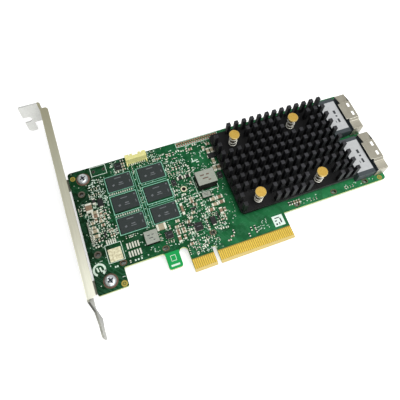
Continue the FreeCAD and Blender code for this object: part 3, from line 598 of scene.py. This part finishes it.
def memoryChip(number):
    look = memoryLook
    nodeName = "memory_chip_" + str(number)
    low, high = boxOf(nodeName)
    top = high.z - markRise
    body = Form()
    body.block((low.x, low.y, look["stand"]), (high.x, high.y, top))
    columns, rows, margin = look["columns"], look["rows"], look["margin"]
    for i in range(columns):
        for k in range(rows):
            if i in (0, columns - 1) or k in (0, rows - 1):      # the outer solder balls
                x = low.x + margin + i * (high.x - low.x - 2 * margin) / (columns - 1)
                y = low.y + margin + k * (high.y - low.y - 2 * margin) / (rows - 1)
                body.disc(x, y, look["ball"], 0.0, look["stand"] + 0.01, 1, 6)
    body.piece("memoryBody" + str(number), "chip_plastic", ["epoxy", "tin"], [nodeName], look["bevel"])
    marks = Form()
    middle = (low + high) / 2
    inset = look["dotInset"]
    marks.disc(high.x - inset, high.y - inset, look["dot"], top, high.z, 0, 16)
    for x, y, sizeX, sizeY, turn in ((middle.x - 0.3, high.y - 1.6, 3.4, 0.42, 0),
                                     (middle.x + 0.6, middle.y - 0.5, 1.9, 0.55, 0),
                                     (middle.x - 3.2, middle.y - 1.1, 1.1, 0.9, 30),
                                     (middle.x + 0.6, middle.y - 1.5, 2.6, 0.35, 0),
                                     (high.x - 1.2, middle.y - 0.9, 0.35, 1.5, 0)):
        marks.flat(x, y, sizeX, sizeY, top, markRise, 0, turn)
    marks.piece("memoryMarks" + str(number), "chip_plastic", ["laser"])


for number in range(1, 7):
    memoryChip(number)


# soldered ceramic parts: body, two metal ends and the solder that climbs them
partLook = {"end": 0.22, "lap": 0.9, "inset": 0.03, "fillet": 0.16, "climb": 0.55, "side": 0.04,
            "bevel": 0.05}
spots = []     # ground that is taken, so that loose dots keep off it


def coverBox(low, high, margin):
    spots.append((low.x - margin, low.y - margin, high.x + margin, high.y + margin))


def cover(x, y, reachX, reachY):
    spots.append((x - reachX, y - reachY, x + reachX, y + reachY))


def endOf(low, high, axis, side, reach):
    # the box shortened to one of its ends
    a, b = low.copy(), high.copy()
    if side:
        a[axis] = high[axis] - reach
    else:
        b[axis] = low[axis] + reach
    return a, b


def solderedParts(nodeName, pieceName, slot, bodyPaints, seed):
    look = partLook
    rng = random.Random(seed)
    form = Form()
    for low, high in islands(nodeName):
        coverBox(low, high, 0.2)
        long = 0 if high.x - low.x > high.y - low.y else 1
        body = 1 + rng.randrange(len(bodyPaints))
        end = look["end"] * (high[long] - low[long])
        inner, outer = low.copy(), high.copy()
        inner[long] += end * look["lap"]
        outer[long] -= end * look["lap"]
        wide = 1 - long
        inner[wide] += look["inset"]
        outer[wide] -= look["inset"]
        upward = low.z > -0.5
        if upward:
            outer.z -= look["inset"]
        else:
            inner.z += look["inset"]
        form.block(inner, outer, body)
        for side in (0, 1):
            a, b = endOf(low, high, long, side, end)
            form.block(a, b, 0)
            # a low wedge of solder outside the end
            foot, height = look["fillet"], look["climb"] * (high.z - low.z)
            edge = (b if side else a)[long]
            out = foot if side else -foot
            ground, rise = (low.z, height) if upward else (high.z, -height)
            profile = [(edge, ground), (edge + out, ground), (edge, ground + rise)]
            points = []
            for w in (low[wide] + look["side"], high[wide] - look["side"]):
                for along, z in profile:
                    points.append((along, w, z) if long == 0 else (w, along, z))
            form.shell(points, [[0, 1, 2], [5, 4, 3], [0, 3, 4, 1], [1, 4, 5, 2], [2, 5, 3, 0]], 0)
    form.piece(pieceName, slot, ["ends"] + bodyPaints, [nodeName], look["bevel"])


solderedParts("large_capacitors", "largeCapacitors", "ceramic_tan", ["ceramicGrey", "ceramic"], 3)
solderedParts("middle_capacitors", "middleCapacitors", "ceramic_tan", ["ceramic", "ceramicGrey"], 5)
solderedParts("small_capacitors", "smallCapacitors", "ceramic_tan", ["ceramic", "glaze"], 7)
solderedParts("tiny_resistors", "tinyResistors", "resistor_black", ["glaze", "ceramicGrey"], 11)
solderedParts("resistor_arrays", "resistorArrays", "resistor_black", ["glaze"], 13)
solderedParts("back_capacitors", "backCapacitors", "ceramic_tan", ["ceramic"], 17)


# small flat packages with pads showing at their edges
packageLook = {"stand": 0.05, "pitch": 0.5, "pad": 0.24, "padHigh": 0.22, "reach": 0.14, "margin": 0.7,
               "mark": 0.02, "dot": 0.2, "dotInset": 0.6, "bar": 0.28, "bevel": 0.06}


def flatPackage(nodeName, pieceName):
    look = packageLook
    low, high = boxOf(nodeName)
    coverBox(low, high, 0.4)
    form = Form()
    form.block((low.x, low.y, look["stand"]), (high.x, high.y, high.z - markRise))
    for k in (0, 1):
        span = high[k] - low[k] - look["margin"]
        count = int(span / look["pitch"]) + 1
        for i in range(count):
            along = (low[k] + high[k]) / 2 + (i - (count - 1) / 2) * look["pitch"]
            for side in (low[1 - k], high[1 - k]):
                out = look["reach"] if side > low[1 - k] else -look["reach"]
                a, b = [0, 0, 0.0], [0, 0, look["padHigh"]]
                a[k], b[k] = along - look["pad"] / 2, along + look["pad"] / 2
                a[1 - k], b[1 - k] = sorted((side - out * 1.5, side + out))
                form.block(a, b, 1)
    inset, mark = look["dotInset"], look["mark"]
    form.disc(low.x + inset, high.y - inset, look["dot"], high.z - mark, high.z, 2, 12)
    form.flat((low.x + high.x) / 2 + 0.2, (low.y + high.y) / 2, 0.5 * (high.x - low.x), look["bar"],
              high.z - mark, mark, 2)
    form.piece(pieceName, "chip_plastic", ["darkEpoxy", "tin", "laser"], [nodeName], look["bevel"])


for kind in ("regulator", "monitor", "charger", "flash", "clock"):
    flatPackage(kind + "_chip", kind + "Chip")


# leaded parts: body between its flat leads
leadLook = {"inset": 0.35, "stand": 0.08, "spread": 0.95, "foot": 0.45, "rise": 0.55, "bevel": 0.08}


def leadedParts(nodeName, pieceName, leadWidth, three):
    look = leadLook
    form = Form()
    for low, high in islands(nodeName):
        coverBox(low, high, 0.5)
        long = 0 if high.x - low.x > high.y - low.y else 1
        span = 1 - long if three else long      # the leads leave along this axis
        inner, outer = low.copy(), high.copy()
        inner[span] += look["inset"]
        outer[span] -= look["inset"]
        inner.z += look["stand"]
        form.block(inner, outer, 0)
        middle = (low + high) / 2
        for side in (0, 1):
            offsets = (0.0,) if not three or side else (-look["spread"], look["spread"])
            for offset in offsets:
                a, b = endOf(low, high, span, side, look["foot"])
                a[1 - span] = middle[1 - span] + offset - leadWidth / 2
                b[1 - span] = middle[1 - span] + offset + leadWidth / 2
                b.z = low.z + look["rise"] * (high.z - low.z)
                form.block(a, b, 1)
    form.piece(pieceName, "chip_plastic", ["darkEpoxy", "ends"], [nodeName], look["bevel"])


leadedParts("power_diodes", "powerDiodes", 1.5, False)
leadedParts("transistors", "transistors", 0.42, True)


# wound parts: pale pressed top, dark sides and two tinned terminals
coilLook = {"skin": 0.14, "inset": 0.1, "stand": 0.15, "terminal": 0.8, "terminalHigh": 0.30, "mark": 0.02,
            "bevel": 0.12,
            # strokes on the top as shares of its width: place along X and Y, and length
            "strokes": ((-0.18, 0.16, 0.22), (0.12, 0.16, 0.16), (-0.05, -0.08, 0.3), (0.14, -0.26, 0.14))}


def coilPiece(nodeName, pieceName, slot, markPaint):
    look = coilLook
    low, high = boxOf(nodeName)
    coverBox(low, high, 0.6)
    form = Form()
    inset, under = look["inset"], high.z - look["skin"]
    form.block((low.x + inset, low.y + inset, look["stand"]), (high.x - inset, high.y - inset, under), 1)
    form.block((low.x, low.y, under), (high.x, high.y, high.z - markRise), 0)
    middle, size = (low + high) / 2, high - low
    width, reach = 0.45 * size.y, look["terminal"]
    for side, out in ((low.x, -1), (high.x, 1)):
        form.block((min(side, side - out * reach), middle.y - width / 2, 0.0),
                   (max(side, side - out * reach), middle.y + width / 2, look["terminalHigh"]), 2)
    for shareX, shareY, long in look["strokes"]:
        form.flat(middle.x + shareX * size.x, middle.y + shareY * size.y, long * size.x,
                  max(0.25, 0.06 * size.x), high.z - look["mark"], look["mark"], 3)
    form.piece(pieceName, slot, ["core", "coreDark", "tin", markPaint], [nodeName], look["bevel"])


coilPiece("inductor_large", "largeCoil", "ferrite_large", "copperRing")
coilPiece("inductor_small", "smallCoil", "ferrite_small", "ink")
coilPiece("inductor_mini", "miniCoil", "ferrite_small", "ink")


# bracket screws: pan head, cross recess and a fine thread under the board
screwLook = {"head": 2.7, "height": 1.9, "shank": 1.38, "thread": 0.09, "pitch": 0.5, "length": 3.7,
             "wing": 0.31, "reach": 1.45, "turn": 24, "recess": (0.6, 2.6), "steps": 36, "perTurn": 18,
             # the head's outline as shares of its radius and height
             "crown": ((0.995, 0.0105), (1.0, 0.50), (0.955, 0.70), (0.86, 0.85), (0.70, 0.94), (0.50, 0.99))}


def screwPiece():
    look = screwLook
    body, cutter, thread = Form(), Form(), Form()
    perTurn = look["perTurn"]
    for low, high in islands("bracket_screws"):
        x, y, _ = (low + high) / 2
        crown = [(look["head"] * out, look["height"] * up) for out, up in look["crown"]]
        body.lathe(x, y, crown, look["steps"])
        wing, reach = look["wing"], look["reach"]
        cross = []
        for quarter in range(4):
            angle = math.radians(look["turn"] + 90 * quarter)
            c, s = math.cos(angle), math.sin(angle)
            cross += [(x + a * c - b * s, y + a * s + b * c)
                      for a, b in ((reach, -wing), (reach, wing), (wing, wing))]
        # the cutter's walls carry the dark recess paint, painted shade in the cross
        cutter.prism(cross, *look["recess"], 1)
        count = int(look["length"] / look["pitch"] * perTurn)
        points = []
        for i in range(count + 1):
            z = -look["length"] + 0.03 + i * (look["length"] - 0.06) / count
            phase = (z / look["pitch"]) % 1.0
            for k, (c, s) in enumerate(spokes(perTurn)):
                wave = abs(((phase - k / perTurn) % 1.0) * 2 - 1)
                radius = look["shank"] - look["thread"] + look["thread"] * wave
                points.append((x + radius * c, y + radius * s, z))
        thread.sweep(points, perTurn)
    pair = ["screw", "recess"]
    head = body.piece("bracketScrewHeads", "screw_steel", pair, ["bracket_screws"], 0.0, 40)
    tool = cutter.piece("recessTool", "screw_steel", pair)
    cut = head.modifiers.new("recess", "BOOLEAN")
    cut.operation = "DIFFERENCE"
    cut.object = tool
    cut.solver = "EXACT"
    graph = bpy.context.evaluated_depsgraph_get()
    solid = bpy.data.meshes.new_from_object(head.evaluated_get(graph))
    head.modifiers.clear()
    head.data = solid
    bpy.data.objects.remove(tool)
    thread.piece("bracketScrewThreads", "screw_steel", ["screw"], (), 0.0, 20)


screwPiece()
print("components made")


# port labels and the small sticker: pale film with plain dark bars
def labelPiece(nodeName, pieceName, slot, film, bars):
    low, high = boxOf(nodeName)
    form = Form()
    form.block(low, (high.x, high.y, high.z - markRise))
    for x, y, sizeX, sizeY in bars:
        form.flat(low.x + x, low.y + y, sizeX, sizeY, high.z - markRise * 1.5, markRise * 1.4, 1)
    form.piece(pieceName, slot, [film, "ink"], [nodeName])
    coverBox(low, high, 0.3)


for port in ("1", "2"):
    labelPiece("port_label_" + port, "portLabel" + port, "label_film", "label",
               [(6.2, 5.6, 1.1, 2.4), (6.2, 8.6, 1.1, 0.9), (6.2, 11.2, 1.3, 2.2), (4.4, 5.2, 0.35, 1.4)])
labelPiece("inspection_sticker", "whiteSticker", "sticker_film", "sticker",
           [(1.3, 1.2, 0.9, 0.9), (2.7, 1.3, 0.5, 1.3), (1.4, 2.9, 1.1, 0.6), (3.9, 2.6, 0.7, 2.4),
            (2.5, 4.3, 2.6, 0.5)])


# flat work on the component face: tinned pads, print, rings and via dots
padThick = 0.03
memoryRows = [(28.2, 37.4), (39.2, 49.6), (51.5, 60.6)]
memoryColumns = [(-40.3, -26.7), (-23.6, -9.6)]
tinLook = {
    # bare pads: first place, step along X and Y, count, and size
    "rows": [((-38.6, 22.2), (1.32, 0), 5, (0.75, 2.9)), ((-38.6, 18.1), (1.32, 0), 5, (0.75, 2.9)),
             ((-47.3, 27.2), (1.02, 0), 5, (0.62, 2.4)), ((-53.4, 27.5), (0, 0.65), 20, (1.1, 0.27))]
    + [((-39.6, high + 0.95), (1.12, 0), 11, (0.5, 0.9)) for _, high in memoryRows[:2]],
    # solder slug: place, then the size, foot and thickness of its two steps
    "slug": (-44.9, 20.4), "slugSteps": [(6.2, 6.4, 0, 0.05), (5.2, 5.4, 0.05, 0.10)],
    "clear": [(-41.0, 15.6, -31.6, 25.4), (-49.0, 16.0, -41.0, 29.0)],
}


def bareTin():
    look = tinLook
    form, slug = Form(), Form()
    for (x, y), (stepX, stepY), count, (sizeX, sizeY) in look["rows"]:
        for i in range(count):
            form.flat(x + i * stepX, y + i * stepY, sizeX, sizeY, 0, padThick)
    form.piece("barePads", "tin", ["tin"])
    for step in look["slugSteps"]:
        slug.flat(*look["slug"], *step)
    slug.piece("solderedSlug", "tin", ["slug"], (), 0.15)
    spots.extend(look["clear"])


printLook = {
    "thick": 0.02, "line": 0.25, "outline": 0.38,
    "frames": [(-48.9, -41.0, 16.8, 26.0), (-45.8, -37.7, 63.2, 68.6), (0.4, 24.2, 65.5, 68.7),
               (2.2, 13.6, 37.0, 46.8)],
    # plain strokes: place, size and turn
    "strokes": [(-54.5, 15.9, 0.75, 2.3, 12), (-53.1, 15.6, 0.75, 2.3, 12), (7.0, 55.3, 3.6, 0.55, 8),
                (6.0, 56.4, 0.55, 1.8, 0), (8.3, 54.3, 1.6, 0.55, 0), (-19.9, 6.3, 4.2, 0.9, 0)],
    "ticks": [-52.4, -51.2, -46.4, -45.4, -36.8, -35.4, -33.8], "tickRow": 14.6, "tick": (0.7, 0.8),
    # between the memory: hatched strips, plain strips and long lines, by place, size and step
    "gaps": [(37.75, 38.85), (49.95, 51.15)], "hatch": (-39.9, 0.24, 1.15), "hatchTurn": -38,
    "strip": (-16.6, 13.2, 0.30), "columns": [-25.9, -24.4], "column": (44.3, 0.22, 31.6),
    "smallFrame": (-21.2, -18.6, 8.3, 11.2, 0, 0.02, 0.24), "comb": (2.03, 66.4, 1.27, 0.22, 1.0),
    "arc": (-53.8, 15.7, 2.1, 3.1, -60, 240), "clear": (4.4, 53.4, 9.8, 57.8),
}


def whitePrint():
    look = printLook
    form, teal = Form(), Form()
    thick, line = look["thick"], look["line"]
    for left, right in memoryColumns:
        for low, high in memoryRows:
            teal.frameLine(left, right, low, high, 0, thick, look["outline"])
    # hatched strips between the left chips, and plain ones between the right chips
    left, wide, step = look["hatch"]
    x, sizeX, sizeY = look["strip"]
    for low, high in look["gaps"]:
        for i in range(12):
            teal.flat(left + i * step, (low + high) / 2, wide, 1.15 * (high - low), 0, thick, 0,
                      look["hatchTurn"])
        teal.flat(x, (low + high) / 2, sizeX, sizeY, 0, thick)
    for x in look["columns"]:
        teal.flat(x, *look["column"], 0, thick)
    for frameBox in look["frames"]:
        form.frameLine(*frameBox, 0, thick, line)
    form.frameLine(*look["smallFrame"])
    left, y, step, sizeX, sizeY = look["comb"]
    for i in range(17):
        form.flat(left + i * step, y, sizeX, sizeY, 0, thick)
    form.arc(*look["arc"], 0, thick)
    for x, y, sizeX, sizeY, turn in look["strokes"]:
        form.flat(x, y, sizeX, sizeY, 0, thick, 0, turn)
    spots.append(look["clear"])
    for x in look["ticks"]:
        form.flat(x, look["tickRow"], *look["tick"], 0, thick)
        cover(x, look["tickRow"], 0.8, 0.8)
    form.piece("whitePrint", "label_film", ["silk"])
    teal.piece("memoryOutlines", "label_film", ["teal"])


ringLook = {
    # inner and outer radius of each kind of ring
    "screwRing": (1.62, 3.45), "slotRing": (0.95, 1.35), "jumperRing": (0.55, 0.8), "dullRing": (1.02, 1.75),
    "brightRing": (1.02, 1.6), "slotRun": 0.7, "headerPad": 0.80,
    "slotRow": 15.3, "slots": [-42.5, -21.8, 2.1, 47.4, 68.4, 86.8], "header": (1.4, 66.4, 1.27, 1.35),
    "targets": [(-55.0, 65.2, 1.3), (-44.6, 5.9, 1.5), (95.4, 14.8, 1.3)],
    "dull": [(-52.75, 55.5), (-52.75, 22.9)], "bright": (-3.7, 41.8),
    "jumper": [(-44.2, 65.9), (-39.0, 65.9)],
    # ground that the round marks keep clear: place and radius
    "clear": [(-50.2, 9.05, 3.6), (-50.2, 63.35, 3.6), (-52.75, 55.5, 2.0), (-52.75, 22.9, 2.0),
              (-3.7, 41.8, 1.9), (-53.8, 15.7, 3.3), (-55.0, 65.2, 1.5), (-44.6, 5.9, 1.7),
              (95.4, 14.8, 1.5)],
}


def rings():
    look = ringLook
    copper, rows, gold, dull, bright = Form(), Form(), Form(), Form(), Form()
    for low, high in islands("bracket_screws"):
        x, y, _ = (low + high) / 2
        copper.ring(x, y, *look["screwRing"], 0, padThick)
    for x in look["slots"]:
        copper.ring(x, look["slotRow"], *look["slotRing"], 0, padThick, 0, 24, look["slotRun"])
    copper.piece("copperRings", "gold_plate", ["copperRing"])
    left, low, stepX, stepY = look["header"]
    for i in range(18):
        for k in range(2):
            rows.flat(left + i * stepX, low + k * stepY, look["headerPad"], look["headerPad"], 0, padThick)
    for x, y in look["jumper"]:
        rows.ring(x, y, *look["jumperRing"], 0, padThick, 2)
        # painted shade: a dark disc fills each jumper ring where the hole's inside lies in shade
        rows.disc(x, y, 0.56, 0, padThick * 0.6, 1)
    rows.piece("testHeaderPads", "gold_plate", ["bareCopper", "coreDark", "dullRing"])
    for x, y, radius in look["targets"]:
        gold.ring(x, y, 0.5 * radius, radius, 0, padThick)
        gold.disc(x, y, 0.32 * radius, 0, padThick)
    gold.piece("goldTargets", "gold_plate", ["target"])
    for x, y in look["dull"]:
        dull.ring(x, y, *look["dullRing"], 0, padThick)
    dull.piece("dullRings", "tin", ["dullRing"])
    bright.ring(*look["bright"], *look["brightRing"], 0, padThick)
    bright.piece("tinnedRing", "tin", ["slug"])
    for x, y, radius in look["clear"]:
        cover(x, y, radius, radius)
    for x in look["slots"]:
        cover(x, look["slotRow"], 1.9, 1.6)


# loose dots, strokes and pad pairs: each zone is left, right, low and high
scatterLook = {
    "via": 0.28, "seed": 29,
    # then how many dots and strokes it has
    "zones": [(-10.0, 17.4, 44.5, 65.5, 90, 40), (-10.0, 11.0, 16.0, 44.0, 90, 80),
              (11.0, 17.4, 16.0, 44.0, 16, 4), (-54.0, -41.0, 26.0, 50.0, 60, 90),
              (-49.5, -41.0, 50.0, 62.0, 26, 50), (-40.0, -10.0, 14.5, 28.0, 60, 30),
              (-11.4, 4.0, 7.2, 15.0, 26, 6), (20.0, 30.0, 8.0, 13.0, 10, 8),
              (44.0, 60.0, 14.6, 17.0, 12, 8), (74.0, 92.0, 14.4, 16.6, 8, 2),
              (-36.0, -10.0, 61.0, 68.0, 50, 34), (-56.0, -43.6, 5.2, 26.0, 8, 4)],
    # then how many pad pairs are tried
    "pairZones": [(-53.5, -42.5, 26.5, 50.0, 120), (-49.5, -41.5, 49.0, 62.0, 60),
                  (-9.0, 10.5, 15.0, 44.0, 110), (-9.0, 10.0, 50.0, 65.0, 44),
                  (-40.0, -28.0, 14.6, 27.5, 24), (-36.0, -12.0, 61.2, 67.8, 30),
                  (-10.0, 4.0, 7.6, 14.5, 30)],
}


def covered(x, y, margin):
    return any(a - margin < x < c + margin and b - margin < y < d + margin for a, b, c, d in spots)


def scatter():
    look = scatterLook
    rng = random.Random(look["seed"])
    dots, strokes, pairs = Form(), Form(), Form()
    for nodeName in ("heatsink", "battery_header", "port_housing_1", "port_housing_2",
                     "port_shell_1", "port_shell_2"):
        low, high = boxOf(nodeName)
        coverBox(low, high, 0.3)
    spots.extend([(left, low, right, high) for left, right in memoryColumns for low, high in memoryRows])
    for left, right, low, high, dotCount, strokeCount in look["zones"]:
        for i in range(dotCount + strokeCount):
            x, y = rng.uniform(left, right), rng.uniform(low, high)
            if covered(x, y, 0.0):
                continue
            if i < dotCount:
                dots.ring(x, y, 0.10, look["via"] * rng.uniform(0.8, 1.15), 0, padThick, 0, 10)
            else:
                strokes.flat(x, y, rng.uniform(0.6, 1.5), 0.22, 0, padThick * 0.7, 0, rng.choice((0, 0, 90)))
            cover(x, y, 0.5, 0.4)
    # bare pad pairs, all square to the board, and covered by pale resist beside the upper memory
    for left, right, low, high, wanted in look["pairZones"]:
        for i in range(wanted):
            x, y = rng.uniform(left, right), rng.uniform(low, high)
            if covered(x, y, 0.2):
                continue
            level = rng.random() < 0.5
            size = rng.choice((0.55, 0.7, 0.9))
            long, wide = (0.75, 1.15) if level else (1.15, 0.75)
            for shift in (-0.72 * size, 0.72 * size):
                pairs.flat(x + (shift if level else 0), y + (0 if level else shift), size * long, size * wide,
                           0, padThick, 1 if y > 49.0 and x < -41.0 else 0)
            cover(x, y, size * 1.3, size * 1.3)
    pairs.piece("padPairs", "tin", ["ends", "silk"])
    dots.piece("viaDots", "tin", ["silk"])
    strokes.piece("printStrokes", "label_film", ["silk"])


bareTin()
whitePrint()
rings()
scatter()
print("surface work made")


# studio
studioLook = {"floor": -5.75, "slab": 1.0, "side": 3000.0, "shade": (-54.8, 94.0, 16.2, 66.0),
              "glow": 0.50, "rise": 0.2, "fade": (180.0, 900.0), "sky": 0.50,
              "key": 2.9, "fill": 1.9, "aim": (0.02, 0.035, 0.0),
              "lamps": (("keyLamp", "key", 0.5, (0.16, -0.14, 0.64)),
                        ("fillLamp", "fill", 0.6, (0.00, -0.55, 0.36)))}


def floorPaint(name, shaded):
    look = studioLook
    paint = Paint(name, Roughness=0.9)
    x, y = paint.axes()[:2]
    fine = paint.noise(0.2, 2.0)
    paint.feed(colour=paint.blend(fine, srgb(228, 228, 228), srgb(236, 236, 236)))
    seen = paint.wire("ShaderNodeLightPath", {}, {}, "Is Camera Ray")
    seen = seen + paint.wire("ShaderNodeLightPath", {}, {}, "Is Glossy Ray")
    if shaded:      # right under the board the paper is left in its shadow
        seen = seen * (1 - paint.inside(x, y, *look["shade"]))
    far = paint.span(paint.math("SQRT", x * x + y * y), *look["fade"])
    near, rim = look["glow"], look["glow"] + look["rise"]
    light = paint.blend(far, (near, near, near, 1), (rim, rim, rim, 1))
    glow = paint.wire("ShaderNodeEmission", {}, {"Color": light, "Strength": 1.0})
    empty = paint.wire("ShaderNodeEmission", {}, {"Color": (0, 0, 0, 1), "Strength": 0.0})
    added = paint.wire("ShaderNodeMixShader", {}, {0: seen, 1: empty, 2: glow})
    total = paint.wire("ShaderNodeAddShader", {}, {0: paint.surface, 1: added})
    paint.tree.links.new(total.socket, paint.output.inputs["Surface"])
    return paint.material


def studio():
    look = studioLook
    side, top = look["side"], look["floor"]
    slab = Form()
    slab.block((-side, -side, top - look["slab"]), (side, side, top))
    mesh = bpy.data.meshes.new("studioFloor")
    mesh.from_pydata([Vector(point) * mm for point in slab.points], [], [face for face, _ in slab.faces])
    floor = bpy.data.objects.new("studioFloor", mesh)
    bpy.context.scene.collection.objects.link(floor)
    for polygon in mesh.polygons:
        polygon.material_index = 0 if polygon.normal.z > 0.5 else 1
    mesh.materials.append(floorPaint("floorPaper", True))
    mesh.materials.append(floorPaint("floorUnderside", False))

    world = bpy.data.worlds.new("studioWorld")
    world.use_nodes = True
    bpy.context.scene.world = world
    graph = Graph(world.node_tree)
    white = (1, 1, 1, 1)
    seen = graph.wire("ShaderNodeLightPath", {}, {}, "Is Camera Ray")
    sky = graph.wire("ShaderNodeBackground", {}, {"Color": white, "Strength": look["sky"]})
    paper = graph.wire("ShaderNodeBackground", {}, {"Color": white, "Strength": 1.0})
    mixed = graph.wire("ShaderNodeMixShader", {}, {0: seen, 1: sky, 2: paper})
    graph.node("ShaderNodeOutputWorld", {}, {"Surface": mixed})

    for name, power, size, place in look["lamps"]:
        lamp = bpy.data.lights.new(name, "AREA")
        lamp.energy = look[power]
        lamp.size = size
        holder = bpy.data.objects.new(name, lamp)
        holder.location = place
        aim = Vector(look["aim"]) - holder.location
        holder.rotation_euler = aim.to_track_quat("-Z", "Y").to_euler()
        bpy.context.scene.collection.objects.link(holder)


cameraLook = {"place": (-36.156, -46.902, 204.242), "right": (0.937651, -0.344905, 0.043026),
              "up": (0.288646, 0.841643, 0.456422), "lens": 39.94, "shift": (-0.0036, -0.0730)}


def camera():
    look = cameraLook
    data = bpy.data.cameras.new("studioCamera")
    data.sensor_width = 36
    data.lens = look["lens"]
    data.shift_x, data.shift_y = look["shift"]
    data.clip_start = 0.005
    holder = bpy.data.objects.new("studioCamera", data)
    right, up = Vector(look["right"]), Vector(look["up"])
    back = right.cross(up)
    turn = Matrix((right, up, back)).transposed().to_4x4()
    holder.matrix_world = Matrix.Translation(Vector(look["place"]) * mm) @ turn
    bpy.context.scene.collection.objects.link(holder)
    bpy.context.scene.camera = holder


studio()
camera()
bpy.context.scene.view_settings.view_transform = "Standard"

print("studio made")
